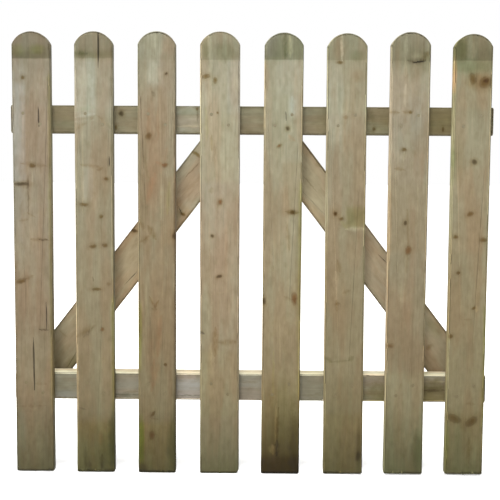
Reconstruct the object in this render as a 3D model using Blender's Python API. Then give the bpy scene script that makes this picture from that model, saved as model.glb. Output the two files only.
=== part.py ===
"""Round-top picket garden gate: eight pales nailed to two rails, with a pair of diagonal braces behind.

Units are metres.  X runs along the gate, -Y is its front, +Z is up.  The origin is the centre of the
gate's outline at the foot of the lowest pale.
"""

import math

import bmesh
import bpy
from mathutils import Matrix, Vector

MM = 0.001
CLEARANCE = 0.3 * MM            # air between touching or cut pieces

# Pales: the upright boards at the front
PALE_COUNT = 8
PALE_PITCH = 118.2 * MM
PALE_THICKNESS = 20.0 * MM
PALE_TOP_RISE = 24.0 * MM       # height of the round top above its shoulders
PALE_ARC_SEGMENTS = 18
# The boards differ a little from one another, as sawn and nailed by hand (millimetres, left to right)
PALE_WIDTHS = (72.0, 72.5, 71.5, 75.0, 73.5, 75.0, 74.0, 72.0)
PALE_LENGTHS = (838.0, 839.5, 840.5, 840.5, 839.0, 837.5, 839.5, 836.0)
PALE_SHIFTS = (0.5, -0.5, -0.5, 0.5, 0.5, 1.5, 0.5, -1.5)       # along X, from even spacing
PALE_RISES = (1.3, 0.4, 0.0, 0.2, 0.3, 1.2, 2.0, 2.5)           # foot above the lowest foot
PALE_LEANS = (0.0, 0.0, 0.0, -1.7, 1.1, -1.9, 0.4, 0.4)         # top out of plumb along X
CHIPPED_PALE = 3                # this pale has lost the right corner of its foot
CHIP_WIDTH = 5.0 * MM
CHIP_HEIGHT = 10.0 * MM

# Rails: the two horizontal bars behind the pales
RAIL_HEIGHT = 53.0 * MM
RAIL_DEPTH = 38.0 * MM
RAILS = {                       # name: (length, height of its middle above the ground line)
    "rail_top": (914.0 * MM, 677.5 * MM),
    "rail_bottom": (910.0 * MM, 165.0 * MM),
}

# Braces: one leaning in from each lower corner, on the back of the rails
BRACE_WIDTH = 72.5 * MM
BRACE_THICKNESS = 20.0 * MM
BRACE_SLOPE = math.radians(52.4)
BRACE_APEX_HEIGHT = 710.5 * MM  # where the two centre lines would meet, on the gate's middle
BRACE_HEAD_INSET = 28.0 * MM    # from the gate's middle to the plumb cut at the head
BRACE_FOOT_REACH = 453.0 * MM   # from the gate's middle to the plumb cut at the foot

BOARD_EASING = 1.5 * MM         # arris taken off pales and braces
RAIL_EASING = 2.0 * MM

# Nails: galvanised round wire nails, heads set just below the face
NAIL_LENGTH = 40.0 * MM
NAIL_RADIUS = 1.35 * MM
NAIL_HEAD_RADIUS = 3.0 * MM
NAIL_HEAD_THICKNESS = 1.2 * MM
NAIL_POINT_LENGTH = 3.5 * MM
NAIL_SET_DEPTH = 0.5 * MM
NAIL_SIDES = 8
PALE_NAIL_OUT = 16.0 * MM       # sideways from the pale's middle, one nail each way
PALE_NAIL_UP = 10.0 * MM        # outer nail above the rail's middle, inner nail below it
BRACE_NAILS = {                 # (distance from the gate's middle, height from the rail's middle)
    "rail_top": ((36.0 * MM, 9.5 * MM), (58.0 * MM, -9.5 * MM)),
    "rail_bottom": ((402.0 * MM, 8.0 * MM), (432.0 * MM, -8.0 * MM)),
}

# Places through the thickness, front to back
TOTAL_DEPTH = PALE_THICKNESS + RAIL_DEPTH + BRACE_THICKNESS + 2 * CLEARANCE
FRONT_Y = -TOTAL_DEPTH / 2
RAIL_FRONT_Y = FRONT_Y + PALE_THICKNESS + CLEARANCE
BRACE_FRONT_Y = RAIL_FRONT_Y + RAIL_DEPTH + CLEARANCE
BACK_Y = BRACE_FRONT_Y + BRACE_THICKNESS

PALE_COLOUR = (0.30, 0.25, 0.17)
RAIL_COLOUR = (0.27, 0.23, 0.15)
BRACE_COLOUR = (0.25, 0.21, 0.14)
STEEL_COLOUR = (0.42, 0.43, 0.43)


def clear_scene():
    for obj in list(bpy.data.objects):
        bpy.data.objects.remove(obj, do_unlink=True)


def make_material(name, colour, roughness, metallic=0.0):
    material = bpy.data.materials.new(name)
    material.use_nodes = True
    shader = material.node_tree.nodes["Principled BSDF"]
    shader.inputs["Base Color"].default_value = (*colour, 1.0)
    shader.inputs["Roughness"].default_value = roughness
    shader.inputs["Metallic"].default_value = metallic
    return material


def add_object(name, bm, material=None):
    mesh = bpy.data.meshes.new(name)
    bmesh.ops.recalc_face_normals(bm, faces=bm.faces)
    bm.to_mesh(mesh)
    bm.free()
    if material:
        mesh.materials.append(material)
    obj = bpy.data.objects.new(name, mesh)
    bpy.context.scene.collection.objects.link(obj)
    return obj


def extruded_board(outline, depth):
    """A closed board from an outline of (x, z) points, its front on y = 0, running back to y = depth."""
    bm = bmesh.new()
    face = bm.faces.new([bm.verts.new((x, 0.0, z)) for x, z in outline])
    grown = bmesh.ops.extrude_face_region(bm, geom=[face])
    back = [v for v in grown["geom"] if isinstance(v, bmesh.types.BMVert)]
    bmesh.ops.translate(bm, verts=back, vec=(0.0, depth, 0.0))
    return bm


def ease_edges(obj, width):
    bevel = obj.modifiers.new("eased_arrises", "BEVEL")
    bevel.width = width
    bevel.segments = 1
    bevel.limit_method = "ANGLE"
    bevel.angle_limit = math.radians(35.0)
    bevel.harden_normals = False


def drill(obj, cutter):
    boolean = obj.modifiers.new("nail_holes", "BOOLEAN")
    boolean.operation = "DIFFERENCE"
    boolean.object = cutter
    boolean.solver = "EXACT"


# ---------------------------------------------------------------- pales

def pale_outline(width, length, chipped):
    """Outline about the board's middle: square foot, straight sides, segmental round top."""
    half = width / 2
    foot = -length / 2
    radius = (half ** 2 + PALE_TOP_RISE ** 2) / (2 * PALE_TOP_RISE)
    centre_z = length / 2 - radius
    spread = math.asin(half / radius)
    points = [(-half, foot)]
    if chipped:
        points += [(half - CHIP_WIDTH, foot), (half, foot + CHIP_HEIGHT)]
    else:
        points += [(half, foot)]
    for step in range(PALE_ARC_SEGMENTS + 1):
        angle = spread * (1 - 2 * step / PALE_ARC_SEGMENTS)
        points.append((radius * math.sin(angle), centre_z + radius * math.cos(angle)))
    return points


def pale_middle(index):
    x = (index - (PALE_COUNT - 1) / 2) * PALE_PITCH + PALE_SHIFTS[index] * MM
    z = (PALE_RISES[index] + PALE_LENGTHS[index] / 2) * MM
    return x, z


def pale_centre_at(index, height):
    """X of a pale's centre line at a height, with its lean."""
    x, z = pale_middle(index)
    return x + (height - z) * PALE_LEANS[index] / PALE_LENGTHS[index]


def build_pale(index, material, cutter):
    length = PALE_LENGTHS[index] * MM
    outline = pale_outline(PALE_WIDTHS[index] * MM, length, index == CHIPPED_PALE)
    pale = add_object(f"pale_{index + 1}", extruded_board(outline, PALE_THICKNESS), material)
    x, z = pale_middle(index)
    pale.location = (x, FRONT_Y, z)
    pale.rotation_euler.y = math.atan2(PALE_LEANS[index], PALE_LENGTHS[index])
    ease_edges(pale, BOARD_EASING)
    drill(pale, cutter)
    return pale


# ---------------------------------------------------------------- rails and braces

def build_rail(name, material, cutter):
    length, height = RAILS[name]
    half_length, half_height = length / 2, RAIL_HEIGHT / 2
    outline = [(-half_length, -half_height), (half_length, -half_height),
               (half_length, half_height), (-half_length, half_height)]
    rail = add_object(name, extruded_board(outline, RAIL_DEPTH), material)
    rail.location = (0.0, RAIL_FRONT_Y, height)
    ease_edges(rail, RAIL_EASING)
    drill(rail, cutter)
    return rail


def brace_outline():
    """Left brace: a sloping board cut plumb at both ends and trimmed level with the rails' outer edges."""
    slope = math.tan(BRACE_SLOPE)
    rise = BRACE_WIDTH / 2 / math.cos(BRACE_SLOPE)
    rail_top_edge = RAILS["rail_top"][1] + RAIL_HEIGHT / 2
    rail_foot_edge = RAILS["rail_bottom"][1] - RAIL_HEIGHT / 2

    def upper(x):
        return BRACE_APEX_HEIGHT + rise + slope * x

    def lower(x):
        return BRACE_APEX_HEIGHT - rise + slope * x

    def lower_x(z):
        return (z - BRACE_APEX_HEIGHT + rise) / slope

    def upper_x(z):
        return (z - BRACE_APEX_HEIGHT - rise) / slope

    foot_x, head_x = -BRACE_FOOT_REACH, -BRACE_HEAD_INSET
    return [(foot_x, rail_foot_edge), (lower_x(rail_foot_edge), rail_foot_edge), (head_x, lower(head_x)),
            (head_x, rail_top_edge), (upper_x(rail_top_edge), rail_top_edge), (foot_x, upper(foot_x))]


def build_brace(name, side, material, cutter):
    outline = [(-side * x, z) for x, z in brace_outline()]
    brace = add_object(name, extruded_board(outline, BRACE_THICKNESS), material)
    brace.location.y = BRACE_FRONT_Y
    ease_edges(brace, BOARD_EASING)
    drill(brace, cutter)
    return brace


# ---------------------------------------------------------------- nails

def nail_profile(extra):
    """(radius, distance along the nail) pairs from the head's face to the point, grown by extra."""
    head_r, shank_r = NAIL_HEAD_RADIUS + extra, NAIL_RADIUS + extra
    head_end = NAIL_HEAD_THICKNESS + extra
    start = -NAIL_SET_DEPTH - 1.0 * MM if extra else 0.0
    return [(head_r, start), (head_r, head_end), (shank_r, head_end),
            (shank_r, NAIL_LENGTH - NAIL_POINT_LENGTH), (extra + 0.25 * MM, NAIL_LENGTH + extra)]


def add_nail_solid(bm, place, extra=0.0):
    """A turned nail shape along its own +Z, moved to its place; extra grows it into its clearance hole."""
    rings = []
    for radius, along in nail_profile(extra):
        ring = []
        for side in range(NAIL_SIDES):
            turn = 2 * math.pi * side / NAIL_SIDES
            ring.append(bm.verts.new(place @ Vector((radius * math.cos(turn), radius * math.sin(turn), along))))
        rings.append(ring)
    for near, far in zip(rings, rings[1:]):
        for side in range(NAIL_SIDES):
            after = (side + 1) % NAIL_SIDES
            bm.faces.new((near[side], near[after], far[after], far[side]))
    bm.faces.new(list(reversed(rings[0])))
    bm.faces.new(rings[-1])


def nail_places():
    """Every nail's name and the matrix that puts its head's face on the wood and its shank into it."""
    places = {}
    into_back = Matrix.Rotation(math.radians(-90.0), 4, "X")
    into_front = Matrix.Rotation(math.radians(90.0), 4, "X")
    for rail_name, (_, height) in RAILS.items():
        where = rail_name.removeprefix("rail_")
        for index in range(PALE_COUNT):
            outward = -1 if index < PALE_COUNT / 2 else 1
            for nail, (out, up) in (("outer", (1, 1)), ("inner", (-1, -1))):
                z = height + up * PALE_NAIL_UP
                x = pale_centre_at(index, z) + outward * out * PALE_NAIL_OUT
                spot = Matrix.Translation((x, FRONT_Y + NAIL_SET_DEPTH, z))
                places[f"nail_pale_{index + 1}_{where}_{nail}"] = spot @ into_back
        for side_name, side in (("left", -1), ("right", 1)):
            for number, (out, up) in enumerate(BRACE_NAILS[rail_name], start=1):
                spot = Matrix.Translation((side * out, BACK_Y - NAIL_SET_DEPTH, height + up))
                places[f"nail_brace_{side_name}_{where}_{number}"] = spot @ into_front
    return places


def build_nail(name, place, material):
    bm = bmesh.new()
    add_nail_solid(bm, Matrix.Identity(4))
    nail = add_object(name, bm, material)
    nail.data.shade_smooth()
    nail.data.set_sharp_from_angle(angle=math.radians(40.0))
    nail.matrix_world = place
    return nail


def build_hole_cutter(places):
    bm = bmesh.new()
    for place in places.values():
        add_nail_solid(bm, place, CLEARANCE)
    cutter = add_object("nail_hole_cutter", bm)
    cutter.hide_render = True
    cutter.display_type = "WIRE"
    return cutter


def main():
    clear_scene()
    pale_wood = make_material("pale_softwood", PALE_COLOUR, 0.75)
    rail_wood = make_material("rail_softwood", RAIL_COLOUR, 0.78)
    brace_wood = make_material("brace_softwood", BRACE_COLOUR, 0.80)
    steel = make_material("galvanised_steel", STEEL_COLOUR, 0.45, 1.0)

    places = nail_places()
    cutter = build_hole_cutter(places)
    for index in range(PALE_COUNT):
        build_pale(index, pale_wood, cutter)
    for name in RAILS:
        build_rail(name, rail_wood, cutter)
    build_brace("brace_left", -1, brace_wood, cutter)
    build_brace("brace_right", 1, brace_wood, cutter)
    for name, place in places.items():
        build_nail(name, place, steel)


main()
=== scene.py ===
"""Looks of the round-top picket gate: weathered, pressure-treated softwood boards and dull wire nails.

Every board is remade on its CAD box with eased arrises, worn edges, checks and nail dimples, and gets a
solid wood material of its own: growth rings about a pith, knots that bend the grain, stains and algae.
A board's own axes are X across it, Y through it (front at -Y) and Z along its grain.
"""
import math

import bmesh
import bpy
import numpy as np
from mathutils import Matrix, Vector


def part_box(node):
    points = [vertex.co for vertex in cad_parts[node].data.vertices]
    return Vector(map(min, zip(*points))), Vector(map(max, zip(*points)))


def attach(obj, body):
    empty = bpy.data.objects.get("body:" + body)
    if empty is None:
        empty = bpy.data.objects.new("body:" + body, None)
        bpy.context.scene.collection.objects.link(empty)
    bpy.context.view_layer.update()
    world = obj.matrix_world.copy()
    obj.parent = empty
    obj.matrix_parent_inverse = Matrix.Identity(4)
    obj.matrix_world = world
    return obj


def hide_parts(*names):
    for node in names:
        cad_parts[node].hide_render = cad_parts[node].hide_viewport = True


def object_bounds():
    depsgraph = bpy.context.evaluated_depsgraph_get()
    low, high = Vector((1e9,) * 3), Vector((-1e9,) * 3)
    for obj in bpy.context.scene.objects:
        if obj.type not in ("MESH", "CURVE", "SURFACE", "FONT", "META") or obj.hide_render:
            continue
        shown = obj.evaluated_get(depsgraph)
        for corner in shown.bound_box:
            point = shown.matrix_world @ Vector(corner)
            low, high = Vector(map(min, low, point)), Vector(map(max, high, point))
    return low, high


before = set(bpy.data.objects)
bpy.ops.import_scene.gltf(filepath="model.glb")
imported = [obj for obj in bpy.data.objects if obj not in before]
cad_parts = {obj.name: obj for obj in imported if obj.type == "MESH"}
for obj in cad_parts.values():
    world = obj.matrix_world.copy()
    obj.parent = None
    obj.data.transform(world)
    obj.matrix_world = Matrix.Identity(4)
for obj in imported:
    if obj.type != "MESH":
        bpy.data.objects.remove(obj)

CAD_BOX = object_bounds()
BODY = "root"
MM = 0.001

FRONT_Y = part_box("pale_1")[0][1]
GROUND_Z = 0.0


def add_object(name, data):
    made = bpy.data.objects.new(name, data)
    bpy.context.scene.collection.objects.link(made)
    return made


def add_piece(name, mesh, matrix, node):
    """A visible piece in the place of one CAD node."""
    piece = add_object(name, mesh)
    piece.matrix_world = matrix
    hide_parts(node)
    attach(piece, BODY)


# ------------------------ camera

CAMERA_PLACE = Vector((0.0194, FRONT_Y - 1.8855, 0.5925))
CAMERA_YAW = math.radians(0.626)
CAMERA_PITCH = math.radians(-4.834)
CAMERA_ROLL = math.radians(-0.368)
CAMERA_LENS = 72.0


def make_camera():
    data = bpy.data.cameras.new("camera")
    data.lens = CAMERA_LENS
    data.sensor_width = 36.0
    data.clip_end = 100.0
    camera = add_object("camera", data)
    turn = (Matrix.Rotation(CAMERA_YAW, 4, "Z") @ Matrix.Rotation(CAMERA_PITCH, 4, "X")
            @ Matrix.Rotation(CAMERA_ROLL, 4, "Y") @ Matrix.Rotation(math.radians(90.0), 4, "X"))
    camera.matrix_world = Matrix.Translation(CAMERA_PLACE) @ turn
    bpy.context.scene.camera = camera


# ------------------------ shader graph helpers

class Graph:
    """Short calls for building a node tree; a socket or a plain number or tuple may be given anywhere."""

    def __init__(self, tree):
        self.tree = tree

    def node(self, kind, **settings):
        made = self.tree.nodes.new(kind)
        for key, value in settings.items():
            setattr(made, key, value)
        return made

    def feed(self, socket, value):
        if isinstance(value, bpy.types.NodeSocket):
            self.tree.links.new(value, socket)
        elif value is not None:
            socket.default_value = value

    def feed_named(self, made, values):
        for title, value in values.items():
            self.feed(made.inputs[title], value)

    def math(self, operation, *values):
        made = self.node("ShaderNodeMath", operation=operation)
        for socket, value in zip(made.inputs, values):
            self.feed(socket, value)
        return made.outputs[0]

    def vector(self, operation, a, b=None, scale=None):
        made = self.node("ShaderNodeVectorMath", operation=operation)
        self.feed(made.inputs[0], a)
        self.feed(made.inputs[1], b)
        if scale is not None:
            self.feed(made.inputs["Scale"], scale)
        return made.outputs["Value" if operation in ("LENGTH", "DOT_PRODUCT") else "Vector"]

    def smooth(self, value, low, high, to_low=0.0, to_high=1.0):
        made = self.node("ShaderNodeMapRange", interpolation_type="SMOOTHSTEP")
        self.feed_named(made, {"Value": value, "From Min": low, "From Max": high,
                               "To Min": to_low, "To Max": to_high})
        return made.outputs["Result"]

    def noise(self, vector, scale, detail, roughness=0.5, output="Fac"):
        made = self.node("ShaderNodeTexNoise")
        self.feed_named(made, {"Vector": vector, "Scale": scale, "Detail": detail, "Roughness": roughness})
        return made.outputs[output]

    def swing(self, pattern, reach):
        """A pattern of 0 to 1 as a length from -reach / 2 to reach / 2."""
        return self.math("MULTIPLY", self.math("SUBTRACT", pattern, 0.5), reach)

    def stray(self, point, seen, scale, detail, reach):
        """The point moved about by the noise seen at another, by up to about reach / 2 each way."""
        colour = self.noise(seen, scale, detail, output="Color")
        offset = self.vector("SCALE", self.vector("SUBTRACT", colour, (0.5, 0.5, 0.5)), scale=reach)
        return self.vector("ADD", point, offset)

    def split(self, vector):
        made = self.node("ShaderNodeSeparateXYZ")
        self.feed(made.inputs[0], vector)
        return made.outputs[:3]

    def join(self, x, y, z):
        made = self.node("ShaderNodeCombineXYZ")
        for socket, value in zip(made.inputs, (x, y, z)):
            self.feed(socket, value)
        return made.outputs[0]

    def mix(self, factor, a, b, blend="MIX"):
        """Blend of two colours: a Mix node's sockets 6 and 7, since the others are numbers and vectors."""
        made = self.node("ShaderNodeMix", data_type="RGBA", blend_type=blend, clamp_factor=True)
        self.feed(made.inputs[0], factor)
        self.feed(made.inputs[6], opaque(a))
        self.feed(made.inputs[7], opaque(b))
        return made.outputs[2]

    def bump(self, shader, height, strength, depth):
        made = self.node("ShaderNodeBump")
        self.feed_named(made, {"Strength": strength, "Distance": depth * MM, "Height": height})
        self.feed(shader.inputs["Normal"], made.outputs["Normal"])


def opaque(colour):
    return (*colour, 1.0) if isinstance(colour, tuple) else colour


def new_material(name):
    material = bpy.data.materials.new(name)
    material.use_nodes = True
    return material, Graph(material.node_tree), material.node_tree.nodes["Principled BSDF"]


# ------------------------ wood's tones and patterns

WOOD = (0.1655, 0.149, 0.101)
# Every tone below multiplies the wood's own colour, so 1 leaves it alone.
SILVER = (1.00, 1.04, 1.02)
TAN = (0.98, 0.92, 0.86)
GREENISH = (0.95, 1.02, 0.96)
PINKISH = (1.04, 0.97, 0.95)
ASH = (1.14, 1.21, 1.34)
WARM = (0.93, 0.91, 0.88)
LIGHT = (1.22, 1.25, 1.25)
PALE_GREY = (1.38, 1.48, 1.78)
LIME = (1.03, 1.10, 0.76)
# painted highlight on the faces and arrises that look left
PAINTED_LEFT_HIGHLIGHT = (2.10, 2.08, 2.12)
CREAM = (1.55, 1.50, 1.40)
# painted light from above on the faces that look up
PAINTED_TOP_LIGHT = (5.05, 5.2, 5.35)
BLUEGREY = (0.96, 1.06, 1.20)
PAINTED_BRACE_LIGHT = (1.44, 1.44, 1.44)       # painted light on the brace fronts, which the pales shade
GREEN = (0.70, 0.78, 0.62)
MOSS = (0.78, 0.92, 0.42)
FOREST = (0.52, 0.57, 0.40)
OLIVE = (0.66, 0.66, 0.50)
ORANGE = (1.28, 1.02, 0.84)
RED = (1.02, 0.85, 0.76)
BROWN = (0.68, 0.58, 0.38)
UMBER = (0.36, 0.30, 0.19)
DARK = (0.14, 0.12, 0.10)
LATE_WOOD = (0.62, 0.52, 0.38)
TREATED = (0.62, 0.63, 0.56)
WASHED = (0.90, 0.91, 0.90)
END_GRAIN = (0.66, 0.60, 0.50)

# kind of knot: (tone of its disc, strength of its halo)
KNOTS = {"dark": ((0.25, 0.20, 0.11), 0.55), "brown": ((0.50, 0.385, 0.17), 0.40),
         "red": ((0.66, 0.42, 0.22), 0.30), "faint": ((0.80, 0.73, 0.63), 0.15)}
KNOT_STRENGTH = 0.85
# in a knot's own half sizes: where its disc and its halo fade from and to, and its rim's radius and softness
KNOT_DISC, KNOT_HALO, KNOT_RIM = (1.45, 0.30), (2.80, 0.60), (0.95, 0.30)
# in its half widths: how far it shifts the rings, and how fast that fades across and along the board
KNOT_SHIFT, KNOT_FADE = 1.3, (0.42, 0.0, 0.22)

# Noise patterns: squeeze along the grain, scale for each mm, detail, roughness
PATTERNS = {"fibre": (0.022, 0.70, 4.0, 0.60), "streak": (0.030, 0.16, 3.0, 0.55),
            "blotch": (0.16, 0.036, 3.0, 0.50), "cloud": (0.45, 0.022, 3.0, 0.55),
            "smudge": (0.40, 0.13, 2.0, 0.50), "grit": (0.35, 0.32, 3.0, 0.60),
            "mottle": (1.0, 0.085, 4.0, 0.60)}
SEED_STEP = (37.0, 91.0, 53.0)
SLOW_SQUEEZE = 0.09         # along the grain, for what bends the rings and the cracks
# Noise scale, detail and reach in mm of what moves the outlines of marks and knots, the rings, and the cracks
OUTLINE_STRAY, RING_STRAY, CRACK_STRAY = (0.11, 3.0, 6.0), (0.030, 3.0, 26.0), (0.30, 2.0, 3.0)
RING_DARKENS, RING_ENDS = (0.15, 0.85), (1.0, 0.90)     # shares of a ring's width
# Where a pattern goes from one level to the other, the tone comes in.  Those of the grain take a look's
# "grain" as well as their own strength.
CLOUDING = (("cloud", 0.46, 0.30, (1.10, 1.10, 1.10)), ("cloud", 0.54, 0.70, (0.89, 0.88, 0.86)),
            ("smudge", 0.50, 0.70, (0.91, 0.90, 0.87)), ("smudge", 0.50, 0.30, (1.08, 1.09, 1.10)))
GRAINING = (("streak", 0.42, 0.22, (1.16, 1.16, 1.15), 1.0), ("streak", 0.55, 0.78, (0.84, 0.83, 0.80), 1.0),
            ("fibre", 0.42, 0.72, (0.84, 0.82, 0.78), 0.45), ("fibre", 0.44, 0.24, (1.12, 1.12, 1.10), 0.45))
MOTTLING = (0.92, 0.95, 0.86)

# how the pales darken towards the ground: (height in mm, tone)
GROUND_DARKENING = ((0.0, (0.31, 0.315, 0.205)), (70.0, (0.48, 0.465, 0.35)), (150.0, (0.71, 0.65, 0.545)),
              (340.0, (0.86, 0.785, 0.70)), (740.0, (0.98, 0.98, 1.00)))
DARKENING_TOP = 850.0
DARKENING_SWING = 90.0        # how unevenly it comes up the streaks
FOOT_LINE = (7.0, 1.0)      # heights between which a thin dark green line runs along a pale's foot
BAND_EDGE, BAND_SWING = 1.6, 3.0        # softness and unevenness of the treated end's line
BAND_FADE, WASH_REACH = 45.0, 55.0      # how far above the line it eases, and how far the wash goes below
ARRIS_REACH, ARRIS_SWING = 6.0, 5.0     # how far in from an arris its algae reach, and how unevenly
STAIN_SOFTNESS, CRACK_SOFTNESS = 2.5, 1.65      # how many half widths from its line a stroke has faded
PANEL_EDGE = (3.5, 8.0)     # softness of a panel's upright and level edges, mm

# Between these values of a normal's X, Y or Z a face comes to look left, forwards or along the grain.
LEFT_HIGHLIGHT_FACE, TOP_LIGHT_FACE = (-0.25, -0.60), (-0.45, -0.80)
FRONT_FACE, END_FACE = (-0.40, -0.80), (0.60, 0.95)

# relief of the bump: late wood, fibres, knots and cracks
LATE_RELIEF, FIBRE_RELIEF, KNOT_RELIEF, CRACK_RELIEF = 0.35, 0.70, 0.5, -2.5
BUMP_STRENGTH, BUMP_DEPTH = 0.5, 0.35
ROUGHNESS, LATE_GLOSS, SPECULAR = (0.76, 0.92), -0.10, 0.15


def new_group(name, vectors, numbers, outputs):
    """An empty node group with vector and number inputs: its graph, and its input and output sockets."""
    tree = bpy.data.node_groups.new(name, "ShaderNodeTree")
    for titles, kind in ((vectors, "NodeSocketVector"), (numbers, "NodeSocketFloat")):
        for title in titles:
            tree.interface.new_socket(title, in_out="INPUT", socket_type=kind)
    for title in outputs:
        tree.interface.new_socket(title, in_out="OUTPUT", socket_type="NodeSocketFloat")
    g = Graph(tree)
    return g, g.node("NodeGroupInput").outputs, g.node("NodeGroupOutput").inputs


def knot_group():
    """Grain round one knot: how far the rings shift, its disc, its halo and its dark rim."""
    g, given, result = new_group("knot", ("point", "centre", "long", "short"), (),
                                 ("shift", "disc", "halo", "rim"))
    offset = g.vector("SUBTRACT", given["point"], given["centre"])
    along = g.vector("DOT_PRODUCT", offset, given["long"])
    across = g.vector("DOT_PRODUCT", offset, given["short"])
    distance = g.vector("LENGTH", g.join(along, across, 0.0))
    narrow = g.vector("LENGTH", given["short"])        # one over the knot's half width
    away = g.math("MULTIPLY", g.vector("LENGTH", g.vector("MULTIPLY", offset, KNOT_FADE)), narrow)
    fall = g.math("EXPONENT", g.math("MULTIPLY", g.math("MULTIPLY", away, away), -1.0))
    g.feed(result["shift"], g.math("DIVIDE", g.math("MULTIPLY", fall, KNOT_SHIFT), narrow))
    g.feed(result["disc"], g.smooth(distance, *KNOT_DISC))
    g.feed(result["halo"], g.smooth(distance, *KNOT_HALO))
    from_rim = g.math("ABSOLUTE", g.math("SUBTRACT", distance, KNOT_RIM[0]))
    g.feed(result["rim"], g.smooth(from_rim, KNOT_RIM[1], 0.0))
    return g.tree


def mark_group():
    """A soft stroke from a start point: tapered to both ends, widest in the middle."""
    g, given, result = new_group("mark", ("point", "start", "along"), ("length", "width", "soft"), ("mask",))
    offset = g.vector("MULTIPLY", g.vector("SUBTRACT", given["point"], given["start"]), (1.0, 0.0, 1.0))
    run = g.math("MINIMUM", g.math("MAXIMUM", g.vector("DOT_PRODUCT", offset, given["along"]), 0.0),
                 given["length"])
    nearest = g.vector("SUBTRACT", offset, g.vector("SCALE", given["along"], scale=run))
    centred = g.math("ABSOLUTE", g.math("MULTIPLY_ADD", g.math("DIVIDE", run, given["length"]), 2.0, -1.0))
    width = g.math("MULTIPLY", given["width"], g.smooth(centred, 1.15, 0.35, 0.25, 1.0))
    g.feed(result["mask"], g.smooth(g.math("DIVIDE", g.vector("LENGTH", nearest), width), given["soft"],
                                    g.math("SUBTRACT", 2.0, given["soft"])))
    return g.tree


def patch_group():
    """A soft-edged oval blotch with a frayed rim."""
    g, given, result = new_group("patch", ("point", "centre", "scale"), ("fray",), ("mask",))
    offset = g.vector("MULTIPLY", g.vector("SUBTRACT", given["point"], given["centre"]), given["scale"])
    g.feed(result["mask"], g.smooth(g.math("ADD", g.vector("LENGTH", offset), given["fray"]), 1.20, 0.30))
    return g.tree


def panel_group():
    """A soft-edged upright rectangle, as a plane blade or a stacked board leaves in a tone, and as a painted
    highlight along a left arris.
    """
    g, given, result = new_group("panel", ("point", "centre", "half"), (), ("mask",))
    away = g.vector("ABSOLUTE", g.vector("SUBTRACT", given["point"], given["centre"]))
    past_x, _, past_z = g.split(g.vector("SUBTRACT", away, given["half"]))
    g.feed(result["mask"], g.math("MULTIPLY", g.smooth(past_x, PANEL_EDGE[0], -PANEL_EDGE[0]),
                                  g.smooth(past_z, PANEL_EDGE[1], -PANEL_EDGE[1])))
    return g.tree


def darkening_ramp(g, height):
    ramp = g.node("ShaderNodeValToRGB")
    g.feed(ramp.inputs[0], g.math("DIVIDE", height, DARKENING_TOP))
    stops = ramp.color_ramp.elements
    while len(stops) < len(GROUND_DARKENING):
        stops.new(1.0)
    for stop, (level, tone) in zip(stops, GROUND_DARKENING):
        stop.position = level / DARKENING_TOP
        stop.color = opaque(tone)
    return ramp.outputs["Color"]


# ------------------------ wood material

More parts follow.
